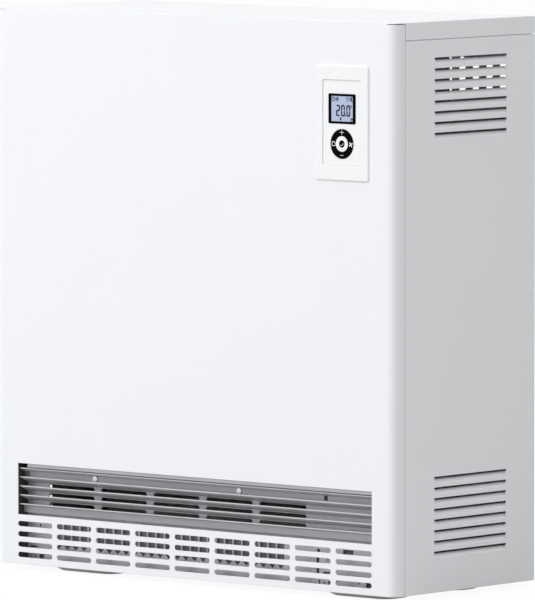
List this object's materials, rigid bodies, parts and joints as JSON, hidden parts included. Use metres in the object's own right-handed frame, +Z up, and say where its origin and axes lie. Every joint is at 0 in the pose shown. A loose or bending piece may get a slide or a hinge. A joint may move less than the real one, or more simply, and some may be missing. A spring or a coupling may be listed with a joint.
{
  "type": "storage heater",
  "caption": "Floor-standing fan storage heater with a painted sheet casing, slatted outlet low on the front, side louvres, room controller and a brick core inside.",
  "frame": {"origin": "centre of the bounding box's base, on the floor", "axes": "+Z up, -Y is the front, +X is to the right seen from the front"},
  "size_m": [0.605, 0.2536, 0.655],
  "materials": {
    "painted": "smooth satin powder coat",
    "zinc": "galvanised sheet",
    "slat_metal": "satin slats with bright front lips",
    "dark_sheet": "dark matt sheet",
    "screw_metal": "bright zinc-plated",
    "rubber": "soft matt",
    "filter_mesh": "fine dark mesh",
    "insulation": "pressed insulating board",
    "brick": "dense dark storage brick",
    "steel": "drawn steel",
    "rotor_metal": "pressed aluminium",
    "motor_iron": "stacked iron sheet",
    "bimetal": "rolled strip",
    "pale_plastic": "moulded",
    "dark_plastic": "moulded",
    "white_plastic": "smooth white moulding",
    "black_gloss": "gloss black",
    "display": "pale blue display",
    "board": "green circuit board"
  },
  "bodies": {
    "root": {"base_pan": "zinc", "front_feet": "painted", "rear_feet": "painted", "rear_panel": "painted", "side_panel_left": "painted", "side_panel_right": "painted", "top_cover": "painted", "front_panel": "painted", "cable_grommet": "rubber", "lid_screws": "screw_metal", "foot_screws": "screw_metal", "outlet_slats": "slat_metal", "grille_bottom_rail": "zinc", "grille_mount_rail": "zinc", "duct_screws": "screw_metal", "duct_side_cheeks": "dark_sheet", "duct_front_plate": "zinc", "lint_filter": "filter_mesh", "inner_wall_left": "zinc", "partition_plate": "zinc", "inner_wall_front": "zinc", "inner_wall_rear": "zinc", "core_floor_plate": "zinc", "core_lid": "zinc", "insulation_front": "insulation", "insulation_rear": "insulation", "insulation_left": "insulation", "insulation_right": "insulation", "insulation_top": "insulation", "insulation_bottom": "insulation", "brick_stage_1": "brick", "brick_stage_2": "brick", "brick_stage_3": "brick", "heating_elements": "steel", "fan_housing": "zinc", "fan_bearing": "rubber", "fan_motor": "motor_iron", "flap_brackets": "zinc", "bimetal_actuator": "bimetal", "terminal_block": "pale_plastic", "charge_controller": "pale_plastic", "safety_limiter": "dark_plastic", "core_sensor": "steel", "controller_frame": "white_plastic", "controller_face": "white_plastic", "display_surround": "black_gloss", "display_glass": "display", "display_module": "dark_plastic", "controller_board": "board", "controller_housing": "pale_plastic"},
    "fan": {"fan_rotor": "rotor_metal", "fan_shaft": "steel"},
    "flap": {"mixing_flap": "zinc", "flap_shaft": "steel"},
    "up_key": {"key_up": "black_gloss"},
    "down_key": {"key_down": "black_gloss"},
    "left_key": {"key_left": "black_gloss"},
    "right_key": {"key_right": "black_gloss"},
    "ok_key": {"key_ok": "white_plastic"}
  },
  "joints": [
    {"name": "fan_spin", "type": "hinge", "parent": "root", "child": "fan", "pos_m": [-0.05, 0.0212, 0.073], "axis": [1, 0, 0], "continuous": true},
    {"name": "flap_tilt", "type": "hinge", "parent": "root", "child": "flap", "pos_m": [-0.05, -0.0628, 0.145], "axis": [-1, 0, 0], "range_deg": [0, 35], "stiffness_Nm_per_rad": 0.5},
    {"name": "up_press", "type": "slide", "parent": "root", "child": "up_key", "axis": [0, 1, 0], "range_m": [0, 0.0005], "stiffness_N_per_m": 1500, "springref_m": -0.0005},
    {"name": "down_press", "type": "slide", "parent": "root", "child": "down_key", "axis": [0, 1, 0], "range_m": [0, 0.0005], "stiffness_N_per_m": 1500, "springref_m": -0.0005},
    {"name": "left_press", "type": "slide", "parent": "root", "child": "left_key", "axis": [0, 1, 0], "range_m": [0, 0.0005], "stiffness_N_per_m": 1500, "springref_m": -0.0005},
    {"name": "right_press", "type": "slide", "parent": "root", "child": "right_key", "axis": [0, 1, 0], "range_m": [0, 0.0005], "stiffness_N_per_m": 1500, "springref_m": -0.0005},
    {"name": "ok_press", "type": "slide", "parent": "root", "child": "ok_key", "axis": [0, 1, 0], "range_m": [0, 0.0005], "stiffness_N_per_m": 1500, "springref_m": -0.0005}
  ]
}
